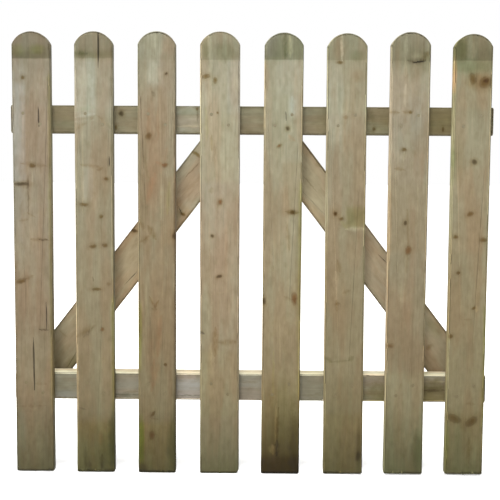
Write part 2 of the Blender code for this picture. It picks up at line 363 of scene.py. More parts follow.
class Wood:
    """One board's solid wood, about a pith behind the face, toned step by step; lengths are in mm."""

    def __init__(self, name, look, groups):
        self.material, self.g, self.shader = new_material(name)
        self.look, self.groups = look, groups
        g = self.g
        coords = g.node("ShaderNodeTexCoord").outputs
        self.normal = g.split(coords["Normal"])
        self.place = g.vector("SCALE", coords["Object"], scale=1 / MM)
        self.x, _, self.z = g.split(self.place)
        shifted = g.vector("ADD", self.place, tuple(look["seed"] * step for step in SEED_STEP))
        self.stretched = g.vector("MULTIPLY", shifted, (1.0, 1.0, SLOW_SQUEEZE))
        self.rough_point = g.stray(self.place, shifted, *OUTLINE_STRAY)
        self.pattern = {title: g.noise(g.vector("MULTIPLY", shifted, (1.0, 1.0, squeeze)), *noise)
                        for title, (squeeze, *noise) in PATTERNS.items()}
        self.knots = [(self.knot_masks(knot), knot[5]) for knot in look["knots"]]
        self.late = self.late_wood()
        blotch = g.smooth(self.pattern["blotch"], 0.40, 0.60)
        self.colour = g.mix(blotch, SILVER, TAN)
        self.tone(1.0, tuple(wood * tint for wood, tint in zip(WOOD, look["tint"])))

    def tone(self, mask, tone, strength=1.0):
        self.colour = self.g.mix(self.g.math("MULTIPLY", mask, strength), self.colour, tone, "MULTIPLY")

    def masks(self, group, **given):
        made = self.g.node("ShaderNodeGroup", node_tree=self.groups[group])
        self.g.feed_named(made, given)
        return made.outputs

    def knot_masks(self, knot):
        across, along, half_long, half_short, lean = knot[:5]
        cos, sin = math.cos(math.radians(lean)), math.sin(math.radians(lean))
        return self.masks("knot", point=self.rough_point, centre=(across, 0.0, along),
                          long=(cos / half_long, 0.0, sin / half_long),
                          short=(-sin / half_short, 0.0, cos / half_short))

    def mark_mask(self, mark, point, soft):
        start_u, start_v, end_u, end_v, width = mark[:5]
        length = math.hypot(end_u - start_u, end_v - start_v)
        along = ((end_u - start_u) / length, 0.0, (end_v - start_v) / length)
        return self.masks("mark", point=point, start=(start_u, 0.0, start_v), along=along, length=length,
                          width=width, soft=soft)["mask"]

    def late_wood(self):
        """The dark part of the growth rings: by distance from a leaning pith, bent by drift and by knots."""
        g, look = self.g, self.look
        point = g.stray(self.place, self.stretched, *RING_STRAY)
        pith_x, pith_y, lean_x, lean_y = look["pith"]
        lean = g.vector("SCALE", (lean_x, lean_y, 0.0), scale=g.split(point)[2])
        from_pith = g.vector("SUBTRACT", g.vector("ADD", point, lean), (pith_x, pith_y, 0.0))
        radius = g.vector("LENGTH", g.vector("MULTIPLY", from_pith, (1.0, 1.0, 0.0)))
        for masks, _ in self.knots:
            radius = g.math("ADD", radius, masks["shift"])
        rings = g.math("FRACT", g.math("DIVIDE", radius, look["ring"]))
        return g.math("MULTIPLY", g.smooth(rings, *RING_DARKENS), g.smooth(rings, *RING_ENDS))

    def add_grain(self):
        g, look = self.g, self.look
        for title, low, high, tone in CLOUDING:
            self.tone(g.smooth(self.pattern[title], low, high), tone)
        for title, low, high, tone, strength in GRAINING:
            self.tone(g.smooth(self.pattern[title], low, high), tone, strength * look["grain"])
        self.tone(g.smooth(self.pattern["mottle"], 0.50, 0.80), MOTTLING, 0.5)
        self.tone(self.late, LATE_WOOD, look["contrast"])

    def add_darkening(self):
        g = self.g
        if self.look["darkens_to_ground"]:
            height = g.math("ADD", self.z, g.swing(self.pattern["streak"], DARKENING_SWING))
            self.tone(1.0, darkening_ramp(g, height))
            self.tone(g.smooth(self.z, *FOOT_LINE), FOREST, 0.8)
        for low, high, tone in self.look["darker_below"]:
            self.tone(g.smooth(self.z, high, low), tone)

    def add_blotches(self):
        fray = self.g.math("SUBTRACT", self.pattern["mottle"], 0.5)
        for across, along, half_across, half_along, tone, strength in self.look["patches"]:
            masks = self.masks("patch", point=self.place, fray=fray, centre=(across, 0.0, along),
                               scale=(1.0 / half_across, 0.0, 1.0 / half_along))
            self.tone(masks["mask"], tone, strength)
        for left, right, low, high, tone, strength in self.look["panels"]:
            masks = self.masks("panel", point=self.rough_point,
                               centre=((left + right) / 2, 0.0, (low + high) / 2),
                               half=((right - left) / 2, 0.0, (high - low) / 2))
            self.tone(masks["mask"], tone, strength)

    def add_treated_end(self):
        """A pale's head: darker above a crisp line, washed paler just below it."""
        g = self.g
        line, strength = self.look["band"]
        edge = g.math("ADD", self.z, g.swing(self.pattern["mottle"], BAND_SWING))
        above = g.smooth(edge, line - BAND_EDGE, line + BAND_EDGE)
        near_line = g.smooth(edge, line + BAND_FADE, line, 0.65, 1.0)
        self.tone(g.smooth(edge, line - WASH_REACH, line), WASHED, 0.8)
        self.tone(g.math("MULTIPLY", above, near_line), TREATED, strength)

    def add_arrises(self):
        """Algae and dirt along both edges of the face; a lighter left edge is painted highlight, and the
        darker right edges are partly painted shade.
        """
        g, half = self.g, self.look["half_width"]
        for side, (tone, strength) in zip((-1.0, 1.0), self.look["edges"]):
            outward = g.math("MULTIPLY", self.x, side)
            uneven = g.math("ADD", g.swing(self.pattern["mottle"], ARRIS_SWING), outward)
            self.tone(g.smooth(uneven, half - ARRIS_REACH, half), tone, strength)

    def add_marks(self):
        g = self.g
        broken = g.smooth(self.pattern["grit"], 0.34, 0.58, 0.45, 1.0)
        for mark in self.look["marks"]:
            mask = self.mark_mask(mark, self.rough_point, STAIN_SOFTNESS)
            self.tone(g.math("MULTIPLY", mask, broken), mark[5], mark[6])
        for masks, kind in self.knots:
            tone, halo = KNOTS[kind]
            self.tone(masks["halo"], BROWN, halo)
            self.tone(masks["disc"], tone, KNOT_STRENGTH)
            self.tone(masks["rim"], UMBER, halo * 0.5)

    def add_cracks(self):
        """Drying cracks; the mask of them all, for the relief."""
        crooked = self.g.stray(self.place, self.stretched, *CRACK_STRAY)
        crack = 0.0
        for check in self.look["checks"]:
            crack = self.g.math("MAXIMUM", crack, self.mark_mask(check, crooked, CRACK_SOFTNESS))
        if self.look["checks"]:
            self.tone(crack, DARK, 0.92)
        return crack

    def add_faces(self):
        """End grain drinks more and goes dark, darker still as painted shade where it looks right. Faces that
        look left get a painted highlight; the brace fronts and faces that look up get painted light.
        """
        g, look = self.g, self.look
        normal_x, normal_y, normal_z = self.normal
        end = g.smooth(g.math("ABSOLUTE", normal_z), *END_FACE)
        # End grain is darker; the extra darkening where it looks right is painted shade.
        self.tone(g.math("MULTIPLY", end, g.smooth(normal_x, -0.2, 0.3, 0.30, 0.75)), END_GRAIN)
        # on a brace, painted light on the front that the pales shade
        if look["front"]:
            self.tone(g.smooth(normal_y, *FRONT_FACE), look["front"])
        # painted highlight on the faces and arrises that look left
        if look["left_highlight"]:
            self.tone(g.smooth(normal_x, *LEFT_HIGHLIGHT_FACE), PAINTED_LEFT_HIGHLIGHT, look["left_highlight"])
        # painted light from above on faces that look up
        if look["top_light"]:
            self.tone(g.smooth(normal_x, *TOP_LIGHT_FACE), PAINTED_TOP_LIGHT, look["top_light"])

    def finish(self, crack):
        g = self.g
        rough = g.smooth(self.pattern["mottle"], 0.25, 0.75, *ROUGHNESS)
        relief = g.math("MULTIPLY_ADD", self.pattern["fibre"], FIBRE_RELIEF,
                        g.math("MULTIPLY", self.late, LATE_RELIEF))
        for masks, _ in self.knots:
            relief = g.math("MULTIPLY_ADD", masks["disc"], KNOT_RELIEF, relief)
        relief = g.math("MULTIPLY_ADD", crack, CRACK_RELIEF, relief)
        g.feed_named(self.shader, {"Base Color": self.colour, "Specular IOR Level": SPECULAR,
                                   "Roughness": g.math("MULTIPLY_ADD", self.late, LATE_GLOSS, rough)})
        g.bump(self.shader, relief, BUMP_STRENGTH, BUMP_DEPTH)


def wood_material(name, look, groups):
    wood = Wood(name, look, groups)
    wood.add_grain()
    wood.add_darkening()
    wood.add_blotches()
    if "band" in look:
        wood.add_treated_end()
    wood.add_arrises()
    wood.add_marks()
    crack = wood.add_cracks()
    wood.add_faces()
    wood.finish(crack)
    return wood.material


# ------------------------ board mesh

EASE = 2.0          # arris radius, mm
EASE_STEPS = 3
COLUMN_GAP = 1.7    # spacing of the mesh across the board
ROW_GAP = 6.0       # spacing along it, away from detail
FINE_GAP = 1.3      # spacing along it, at knots and nails
FINE_REACH = 8.0
OUTLINE_GAP = 3.0   # spacing of the rows that run into a shaped end
WALL_GAP = 4.5      # spacing down the sides
RIM_WEAR = (0.22, 0.30)                     # wood worn off the arrises: mean, and how unevenly
FRONT_RELIEF = (0.28, 0.22, 0.10, 0.08)     # taken off a face: mean, cupping, ripples, saw marks
BACK_RELIEF = (0.10, 0.10)                  # mean, ripples
KNOT_GROOVE, KNOT_DOME = 0.22, 0.20
CRACK_DEPTH, CRACK_SPREAD = 0.8, 0.7
NAIL_DIMPLE = 0.9
NAIL_DIMPLE_RADIUS = 4.3


class Waves:
    """Smooth seeded unevenness: a sum of a few long sine waves across and along a board."""

    def __init__(self, seed, across, along, count=7):
        draw = np.random.default_rng(seed)
        self.kx = draw.uniform(0.3, 1.0, count) * 2 * math.pi / across * draw.choice([-1, 1], count)
        self.kz = draw.uniform(0.3, 1.0, count) * 2 * math.pi / along
        self.phase = draw.uniform(0, 2 * math.pi, count)

    def at(self, u, v):
        waves = np.sin(np.multiply.outer(u, self.kx) + np.multiply.outer(v, self.kz) + self.phase)
        return waves.mean(axis=-1)


def stations(low, high, spots):
    """Rows along a board: wide steps, and fine ones within reach of each spot."""
    rows = [low]
    while rows[-1] < high:
        near = any(abs(rows[-1] - spot) < FINE_REACH + ROW_GAP for spot in spots)
        rows.append(rows[-1] + (FINE_GAP if near else ROW_GAP))
    spare = rows[-1] - high
    rows = np.array(rows)
    return rows - spare * (rows - low) / (rows[-1] - low)


def board_grid(half_width, foot, head, spots):
    """(u, v) of the flat of a face: columns across and rows along, between the foot and head outlines."""
    inner = half_width - EASE
    columns = np.linspace(-inner, inner, int(round(2 * inner / COLUMN_GAP)) + 1)
    foot_line, head_line = foot(columns), head(columns)
    low, high = foot_line.max(), head_line.min()
    rows = stations(low, high, spots)
    blocks = [np.tile(rows[:, None], (1, len(columns)))]
    for line, edge, at_start in ((foot_line, low, True), (head_line, high, False)):
        depth = abs(line - edge).max()
        if depth > 0.01:
            steps = max(2, int(math.ceil(depth / OUTLINE_GAP)))
            share = np.linspace(0.0, 1.0, steps + 1)[1:]
            extra = edge + (line - edge)[None, :] * share[:, None]
            blocks = [extra[::-1]] + blocks if at_start else blocks + [extra]
    v = np.vstack(blocks)
    u = np.tile(columns[None, :], (v.shape[0], 1))
    return u, v


def rim_of(grid):
    """A grid's boundary in order: along the foot, up the right side, back along the head, down the left."""
    return np.concatenate([grid[0, :], grid[1:, -1], grid[-1, -2::-1], grid[-2:0:-1, 0]])


def rim_normals(u, v):
    """Unit normals that point out of a closed anticlockwise outline."""
    along_u = np.roll(u, -1) - np.roll(u, 1)
    along_v = np.roll(v, -1) - np.roll(v, 1)
    size = np.hypot(along_u, along_v)
    return along_v / size, -along_u / size


def rim_profile(half_depth):
    """From the front face round to the back: (out from the flat's edge, depth from the front face)."""
    profile = []
    for step in range(1, EASE_STEPS + 1):
        turn = math.pi / 2 * step / EASE_STEPS
        profile.append((EASE * math.sin(turn), EASE * (1 - math.cos(turn))))
    wall = 2 * (half_depth - EASE)
    wall_steps = max(2, int(round(wall / WALL_GAP)))
    for step in range(1, wall_steps):
        profile.append((EASE, EASE + wall * step / wall_steps))
    return profile + [(out, 2 * half_depth - depth) for out, depth in reversed(profile[:EASE_STEPS])]


def name_seed(name):
    return sum(ord(letter) * (place + 1) for place, letter in enumerate(name))


def board_mesh(name, half_width, half_depth, foot, head, relief, spots, spread=None):
    """A board from two face grids joined by a rounded rim.

    relief(u, v, front) is the wood taken off, and spread(u, v) moves the grain sideways where a board isn't
    parallel, both in mm.
    """
    u, v = board_grid(half_width, foot, head, spots)
    if spread:
        u = spread(u, v)
    rows, columns = u.shape
    rim_u, rim_v = rim_of(u), rim_of(v)
    out_u, out_v = rim_normals(rim_u, rim_v)
    count = len(rim_u)

    wear = Waves(name_seed(name), 40.0, 55.0, 9)
    worn = RIM_WEAR[0] + RIM_WEAR[1] * wear.at(rim_u * 3.0, rim_v)
    front = np.stack([u.ravel(), -half_depth + relief(u, v, True).ravel(), v.ravel()], axis=1)
    back = np.stack([u.ravel(), half_depth - relief(u, v, False).ravel(), v.ravel()], axis=1)
    bands = []
    for out, depth in rim_profile(half_depth):
        share = math.sin(math.pi / 2 * min(1.0, out / EASE)) * (1 - abs(depth / half_depth - 1) * 0.4)
        reach = out - worn * share
        bands.append(np.stack([rim_u + out_u * reach, np.full(count, depth - half_depth),
                               rim_v + out_v * reach], axis=1))
    points = np.vstack([front, back] + bands) * MM

    index = np.arange(rows * columns).reshape(rows, columns)
    quads = np.stack([index[:-1, :-1], index[:-1, 1:], index[1:, 1:], index[1:, :-1]], axis=-1).reshape(-1, 4)
    faces = [quads, quads[:, ::-1] + rows * columns]
    rim_index = rim_of(index)
    loops = [rim_index]
    for band in range(len(bands)):
        loops.append(2 * rows * columns + band * count + np.arange(count))
    loops.append(rim_index + rows * columns)
    for near, far in zip(loops, loops[1:]):
        faces.append(np.stack([near, far, np.roll(far, -1), np.roll(near, -1)], axis=-1)[:, ::-1])
    return smooth_mesh(name, points.tolist(), np.vstack(faces).tolist())


def smooth_mesh(name, points, faces):
    mesh = bpy.data.meshes.new(name)
    mesh.from_pydata(points, [], faces)
    mesh.validate()
    mesh.shade_smooth()
    return mesh


def board_relief(name, look, nails):
    """Hollows, worn grain, knots, cracks and nail dimples, all as depth taken off each face."""
    seed = name_seed(name)
    cup, ripple = Waves(seed + 1, 160.0, 420.0), Waves(seed + 2, 7.0, 160.0, 12)
    saw = Waves(seed + 3, 28.0, 60.0, 9)

    def depth(u, v, front):
        if not front:
            return BACK_RELIEF[0] + BACK_RELIEF[1] * ripple.at(u, v)
        mean, cupping, rippling, sawing = FRONT_RELIEF
        off = mean + cupping * cup.at(u, v) + rippling * ripple.at(u, v) + sawing * saw.at(u, v)
        for across, along, half_long, half_short, lean, _ in look["knots"]:
            cos, sin = math.cos(math.radians(lean)), math.sin(math.radians(lean))
            away = np.hypot(((u - across) * cos + (v - along) * sin) / half_long,
                            ((v - along) * cos - (u - across) * sin) / half_short)
            off += KNOT_GROOVE * np.exp(-((away - 1.2) / 0.4) ** 2) - KNOT_DOME * np.exp(-(away / 0.8) ** 2)
        for start_u, start_v, end_u, end_v, width in look["checks"]:
            length = math.hypot(end_u - start_u, end_v - start_v)
            along_u, along_v = (end_u - start_u) / length, (end_v - start_v) / length
            run = np.clip((u - start_u) * along_u + (v - start_v) * along_v, 0, length)
            away = np.hypot(u - start_u - run * along_u, v - start_v - run * along_v)
            taper = np.clip(2.4 * (0.5 - np.abs(run / length - 0.5)), 0, 1)
            off += CRACK_DEPTH * taper * np.exp(-(away / (width + CRACK_SPREAD)) ** 2)
        for across, along in nails:
            off += NAIL_DIMPLE * np.exp(-(np.hypot(u - across, v - along) / NAIL_DIMPLE_RADIUS) ** 4)
        return np.clip(off, 0.0, 3.0)

    return depth


# ------------------------ boards' looks

# What a look can hold, besides the half_width and darkens_to_ground that the boards' builders add.
#   seed             places the noise
#   tint             multiplies the wood's colour
#    front            tone of the front face alone; on the braces, painted light where the pales shade them
#   contrast, grain  strengths of the growth rings, and of the streaks and fibres
#   pith, ring       across, behind the middle, lean across and lean back of the pith; width of a ring
#   band             height of the treated end's line, and its strength
#    left_highlight   strength of the painted highlight on the side and arris that look left
#    top_light        strength of the painted light from above on the side that looks up
#   edges            tone and strength along the left and the right arris
# The lists are in millimetres: across the board (rightwards, or down on a rail), then up from the ground
# line on a pale, or along from the middle on a rail (rightwards) or a brace (up the slope).
#    darker_below     height where the tone is full, height where it has gone, tone
#   knots            across, along, half long, half short, lean of the long axis in degrees, kind
#   checks           from across, along, to across, along, half width
#   marks            the same as a check, then tone and strength
#   panels           from across, to across, from along, to along, tone, strength
#   patches          across, along, half width, half height, tone, strength
PLAIN_LOOK = {"contrast": 0.10, "grain": 1.0, "left_highlight": 0.0, "top_light": 0.0, "front": None,
              "edges": ((OLIVE, 0.3), (OLIVE, 0.3)), "darkens_to_ground": False,
              "darker_below": [], "knots": [], "checks": [], "marks": [], "panels": [], "patches": []}

PALE_LOOKS = [
    {"seed": 1.3, "tint": (0.87, 0.82, 0.87), "pith": (-14, 46, 0.010, 0.060), "ring": 4.6,
     "band": (789, 1.0), "left_highlight": 0.5, "edges": ((GREEN, 0.3), (OLIVE, 0.3)),
     "knots": [
        (-15, 754, 3.6, 3.2, 0, "brown"), (1, 589, 5, 4.2, 0, "brown"), (-20, 555, 12.5, 3.4, 0, "dark"),
        (-23, 371, 9.5, 4.4, 20, "brown")],
     "checks": [(13, 700, 14, 662, 1.1), (24, 331, 25, 279, 1.1), (-1, 262, 0, 160, 1.25)],
     "marks": [
        (-22, 594, 28, 589, 2.8, BROWN, 0.6), (-7, 572, -7, 498, 1.2, UMBER, 0.6),
        (-9, 566, -9, 540, 1.8, UMBER, 0.6), (-4, 450, 30, 449, 2.4, BROWN, 0.7),
        (11, 450, 28, 449, 1.8, UMBER, 0.9), (10, 278, 29, 277, 1.6, UMBER, 0.9),
        (-14, 374, 2, 382, 2.4, BROWN, 0.7), (0, 172, 24, 173, 1.8, BROWN, 0.5),
        (-32, 128, 22, 130, 2.4, BROWN, 0.4), (-10, 501, 6, 492, 1.4, BROWN, 0.5),
        (-26, 485, -8, 488, 1.6, BROWN, 0.45)],
     "panels": [
        (-40, -12, 562, 742, ASH, 0.8), (-11, 13, 590, 789, WARM, 0.9), (-11, 13, 330, 470, LIGHT, 0.15),
        (31, 40, 120, 760, LIME, 0.6), (-30, -16, 40, 120, BLUEGREY, 0.4),
        (-40, 40, 700, 789, (0.95, 0.97, 0.97), 0.8)],
     "patches": [
        (-26, 600, 15, 240, BLUEGREY, 0.55), (12, 806, 20, 11, MOSS, 0.6), (-24, 804, 15, 13, MOSS, 0.45),
        (0, 795, 50, 9, OLIVE, 0.5), (24, 62, 13, 70, UMBER, 0.25), (10, 740, 18, 60, PINKISH, 0.5),
        (0, 60, 60, 70, LIGHT, 0.5), (0, 200, 60, 80, LIGHT, 0.55), (-20, 430, 18, 60, LIGHT, 0.25)]},
    {"seed": 2.6, "tint": (0.89, 0.89, 0.91), "pith": (6, 40, -0.015, -0.055), "ring": 5.4,
     "band": (790, 0.65), "left_highlight": 1.0, "edges": ((LIGHT, 0.3), (OLIVE, 0.5)),
     "knots": [
        (11, 584, 5.5, 3.4, 20, "faint"), (23, 565, 4.2, 3.2, 0, "brown"), (13, 494, 3.4, 4, 0, "brown"),
        (-19, 517, 7.5, 3, 0, "brown"), (-3, 438, 6.5, 3.8, 10, "brown"), (20, 440, 5, 3.8, 0, "brown"),
        (4, 356, 8, 3, 0, "brown"), (14, 279, 3.6, 4.2, 0, "red"), (26, 366, 3.4, 2.6, 0, "faint")],
     "checks": [(10, 843, 9, 772, 1.3), (29, 608, 29, 588, 0.7)],
     "marks": [
        (-32, 799, -12, 799, 5, (0.42, 0.50, 0.34), 0.9), (-27, 592, 10, 588, 2.6, BROWN, 0.65),
        (13, 490, 13, 462, 1.2, BROWN, 0.4), (-36, 264, 0, 286, 4, BROWN, 0.7),
        (-22, 263, -4, 282, 2.4, UMBER, 0.5), (-34, 657, 4, 684, 2.2, BROWN, 0.4),
        (6, 685, 34, 658, 2.2, BROWN, 0.4), (-3, 380, -3, 371, 1, UMBER, 0.6),
        (12, 36, 11, 5, 2.6, UMBER, 0.8), (-12, 22, -12, 4, 2.4, UMBER, 0.6),
        (-34, 681, 2, 687, 2.6, (1.20, 1.32, 1.45), 0.8), (-36, 671, 0, 676, 2.4, (1.20, 1.32, 1.45), 0.8),
        (-34, 692, 2, 700, 4, GREENISH, 0.9), (12, 676, 34, 666, 3, LIGHT, 0.6),
        (-32, 128, -18, 122, 1.6, UMBER, 0.5), (-20, 50, -19, 5, 2.2, UMBER, 0.5)],
     "panels": [
        (-40, 3, 684, 789, (1.20, 1.27, 1.40), 0.9), (4, 40, 692, 789, (1.06, 1.05, 1.08), 0.8),
        # the panel at the left edge from 120 to 320 is a painted highlight along the arris
        (-40, 40, 790, 803, (0.80, 0.80, 0.66), 0.8), (-40, -33, 120, 320, PAINTED_LEFT_HIGHLIGHT, 0.5),
        (31, 40, 120, 340, LIME, 0.8), (-40, 40, -10, 100, (1.0, 0.97, 0.78), 0.9),
        (2, 40, 596, 676, WARM, 0.9), (-21, -2, 526, 590, ASH, 0.7), (4, 40, 440, 592, WARM, 0.5),
        (4, 40, 290, 420, WARM, 0.4), (-30, 34, 60, 112, TAN, 0.8)],
     "patches": [
        (-17, 735, 17, 62, (0.98, 1.02, 1.04), 0.9), (-16, 735, 16, 55, LIGHT, 0.7),
        (0, 560, 40, 105, PINKISH, 0.5), (33, 60, 10, 80, FOREST, 0.9), (24, 50, 18, 60, GREEN, 0.8),
        (10, 66, 6, 18, RED, 0.7), (22, 560, 14, 60, BROWN, 0.18), (0, 20, 40, 55, OLIVE, 0.4),
        (30, 800, 10, 25, PINKISH, 0.5)]},
    {"seed": 3.1, "tint": (0.86, 0.83, 0.82), "contrast": 0.18, "pith": (2, 26, 0.012, 0.050), "ring": 5.2,
     "band": (788, 0.12), "left_highlight": 0.8, "edges": ((GREEN, 0.3), (UMBER, 0.45)),
     "knots": [
        (18, 762, 2.4, 2.4, 0, "dark"), (-15, 646, 6, 5, 60, "brown"), (16, 592, 5.4, 3.8, 15, "red"),
        (16, 212, 2.6, 2.4, 0, "brown"), (-8, 116, 6, 2.8, 50, "brown"), (-10, 74, 8, 4.6, 90, "red"),
        (33, 459, 6, 3.4, 90, "dark")],
     "marks": [
        (-3, 835, -3, 808, 2, LIGHT, 0.8), (-8, 729, -3, 720, 2.2, UMBER, 0.5),
        (-14, 697, -17, 652, 3.6, RED, 0.7), (20, 628, 16, 594, 3, RED, 0.7),
        (-2, 598, 14, 592, 2, RED, 0.8), (-3, 576, -20, 520, 5, RED, 0.8),
        (-24, 610, -14, 560, 2.4, OLIVE, 0.5), (2, 700, 3, 640, 2, RED, 0.6),
        (24, 560, 20, 500, 3, LIME, 0.6), (30, 600, 26, 520, 1.6, LIGHT, 0.5),
        (12, 556, 10, 500, 2.6, LIGHT, 0.5), (-16, 478, -2, 452, 4, BROWN, 1.0),
        (-30, 486, -26, 470, 3, BROWN, 0.8), (-31, 447, -16, 457, 4.4, BROWN, 0.9),
        (-25, 470, -18, 466, 3, LIGHT, 0.8), (-15, 343, -4, 321, 2.4, BROWN, 0.8),
        (-4, 321, 3, 335, 2.4, BROWN, 0.9), (-12, 342, -6, 332, 1.8, LIGHT, 0.8),
        (-10, 320, 0, 318, 2.2, OLIVE, 0.8), (8, 306, 1, 226, 3.4, RED, 0.8),
        (-5, 222, -11, 160, 3.6, RED, 0.8), (4, 214, -9, 160, 3, RED, 0.7),
        (-14, 108, 4, 104, 1.8, BROWN, 0.5)],
     "panels": [
        (-40, 40, 789, 845, (1.08, 1.14, 1.20), 0.9), (-38, -25, 20, 100, (0.84, 1.00, 0.46), 0.7),
        (-18, 12, 740, 786, ASH, 0.9), (12, 40, 440, 572, TAN, 0.9), (-36, -29, 200, 330, LIME, 0.7),
        (-40, -18, 480, 640, OLIVE, 0.2), (12, 40, 720, 786, ASH, 0.35),
        (-40, 40, -10, 100, (1.0, 0.97, 0.80), 0.9), (-28, -2, 40, 160, TAN, 0.5)],
     "patches": [
        (-7, 762, 18, 24, LIGHT, 0.8), (24, 812, 14, 22, PINKISH, 1.0), (-4, 250, 14, 100, RED, 0.55),
        (-6, 560, 16, 110, RED, 0.5), (-31, 60, 8, 60, MOSS, 1.0), (29, 55, 12, 70, FOREST, 0.8),
        (-28, 10, 12, 14, UMBER, 0.6), (-32, 280, 5, 60, MOSS, 0.5), (0, 640, 40, 160, PINKISH, 0.7)]},
    {"seed": 4.4, "tint": (1.07, 1.06, 1.09), "pith": (-10, 52, -0.008, 0.045), "ring": 4.8,
     "band": (788, 0.55), "left_highlight": 0.8, "edges": ((OLIVE, 0.3), (BLUEGREY, 0.4)),
     "knots": [
        (-26, 758, 6.5, 4, 0, "brown"), (-9, 750, 4.2, 5.6, 0, "brown"), (-5, 690, 1.6, 1.6, 0, "brown"),
        (0, 523, 6, 7, 0, "faint"), (1, 523, 3.6, 4.4, 0, "red"), (-14, 459, 2.8, 2.6, 0, "dark"),
        (-1, 382, 4.4, 2.8, 20, "dark")],
     "marks": [
        (-17, 838, -17, 700, 2.6, LIGHT, 0.9), (-17, 700, -16, 600, 2.2, LIGHT, 0.9),
        (-15, 648, -15, 620, 2.6, BROWN, 0.7), (-26, 700, -24, 640, 3, LIME, 0.5),
        (-3, 350, 8, 352, 1.4, LIGHT, 0.5), (-16, 551, -16, 540, 3, BROWN, 0.5),
        (-37, 275, -29, 272, 2, DARK, 0.8), (-8, 284, -9, 230, 4.6, BROWN, 0.9),
        (-16, 254, -16, 212, 3.4, LIGHT, 1.0), (-2, 255, 30, 257, 4.4, BROWN, 0.8),
        (-6, 622, -5, 560, 1.8, LIGHT, 0.6), (-10, 640, -9, 570, 1.4, BROWN, 0.4)],
     "panels": [
        # the first panel, at the left edge, is a painted highlight along the arris
        (-42, -35.5, 640, 790, CREAM, 0.9), (14, 40, 690, 788, ASH, 0.85), (-14, 12, 640, 745, LIGHT, 0.25),
        (-40, -19, 790, 840, LIGHT, 0.8), (10, 40, 380, 560, TAN, 0.5),
        (-40, 40, 240, 560, (1.0, 0.99, 1.06), 0.8), (-40, 40, -10, 110, (1.04, 1.0, 1.06), 0.9)],
     "patches": [
        (-27, 806, 7, 24, FOREST, 0.6), (9, 804, 26, 22, FOREST, 0.5), (30, 746, 8, 18, LIGHT, 0.7),
        (8, 470, 30, 110, PINKISH, 0.8), (-24, 300, 14, 200, GREENISH, 0.5),
        (10, 650, 26, 70, GREENISH, 0.3), (5, 10, 40, 30, GREEN, 0.2)]},
    {"seed": 5.2, "tint": (1.01, 1.02, 1.04), "pith": (4, 44, 0.014, -0.050), "ring": 5, "band": (789, 0.9),
     "left_highlight": 0.9, "edges": ((OLIVE, 0.25), (OLIVE, 0.7)),
     "darker_below": [(4, 150, (0.41, 0.32, 0.105))],
     "knots": [
        (8, 662, 3.2, 3.8, 0, "dark"), (-7, 629, 5, 3.6, 30, "faint"), (-8, 629, 3, 2, 30, "red"),
        (17, 505, 9, 4.8, 0, "faint"), (19, 505, 5, 3, 0, "brown"), (24, 341, 5.6, 11, 0, "red"),
        (25, 337, 3, 5, 0, "faint"), (-34, 336, 3.6, 6, 0, "dark")],
     "checks": [(4, 694, 5, 676, 0.5)],
     "marks": [
        (2, 836, 2, 792, 4.4, FOREST, 1.0), (11, 834, 11, 794, 3.6, CREAM, 1.0),
        (-5, 832, -5, 796, 2.4, LIGHT, 0.6), (6, 506, 32, 504, 2.2, (0.62, 0.60, 0.36), 0.9),
        (10, 650, 22, 638, 3, RED, 1.0), (14, 673, 16, 655, 2.4, LIGHT, 0.7),
        (16, 720, 20, 690, 5, ASH, 0.8), (-3, 292, -2, 214, 1.4, LIGHT, 0.8),
        (-14, 240, -14, 150, 1.6, LIME, 0.6), (6, 290, 8, 120, 2.6, OLIVE, 0.3),
        (-8, 138, -10, 60, 1.6, CREAM, 0.7), (-15, 56, -14, 40, 5, (2.1, 2.1, 2.7), 1.0),
        (-4, 130, -6, 60, 2, BROWN, 1.0), (-6, 66, -7, 36, 4, UMBER, 0.9),
        (5, 345, 22, 338, 1.8, BROWN, 0.5), (9, 482, 14, 428, 2, BROWN, 0.5)],
     "panels": [
        # the first panel, at the left edge, is a painted highlight along the arris
        (-42, -35, 660, 789, CREAM, 0.9), (-40, 40, 789, 845, (0.90, 0.97, 0.98), 0.9),
        (-40, -17, 725, 789, WARM, 0.9), (-12, 36, 725, 789, ASH, 0.35), (8, 28, 682, 722, ASH, 0.7),
        (-40, -9, 500, 690, WARM, 0.6), (31, 40, 150, 560, LIME, 0.7), (0, 40, 500, 600, TAN, 0.9),
        (-40, 40, -10, 36, (0.66, 0.56, 0.42), 0.8), (-40, -12, 794, 840, (0.94, 0.88, 0.94), 0.9)],
     "patches": [
        (-14, 806, 12, 28, OLIVE, 0.5), (26, 812, 10, 26, OLIVE, 0.4), (-31, 758, 6, 30, PINKISH, 0.9),
        (30, 60, 16, 90, (0.55, 0.50, 0.30), 0.8), (0, 100, 60, 110, (0.88, 0.82, 0.62), 0.8),
        (0, 690, 36, 80, GREENISH, 0.3), (0, 120, 40, 60, OLIVE, 0.35), (30, 420, 6, 150, OLIVE, 0.4)]},
    {"seed": 6.7, "tint": (0.93, 0.91, 0.90), "pith": (-4, 30, 0.006, 0.042), "ring": 6.4,
     "band": (789, 0.5), "left_highlight": 1.0, "edges": ((GREEN, 0.35), (GREEN, 0.6)),
     "knots": [
        (-14, 785, 5, 2.6, 0, "brown"), (-2, 683, 4, 3.4, 0, "faint"), (-19, 502, 4.6, 4.8, 0, "brown"),
        (-19, 503, 2.6, 3, 0, "brown"), (-8, 493, 4.4, 3, 0, "brown"), (-14, 331, 5, 2.6, 10, "faint")],
     "marks": [
        (-11, 838, -10, 788, 2, (1.75, 1.85, 2.1), 1.0), (0, 474, 38, 475, 2.6, (1.40, 1.48, 1.6), 1.0),
        (-8, 488, 2, 476, 3, LIME, 0.7), (4, 484, 36, 508, 3, OLIVE, 0.4),
        (-14, 414, -9, 392, 3.6, BROWN, 0.7), (-17, 394, -17, 340, 3.6, (1.3, 1.34, 1.4), 1.0),
        (-3, 352, 10, 358, 2, BROWN, 0.6), (-15, 338, -14, 318, 2.6, BROWN, 0.5),
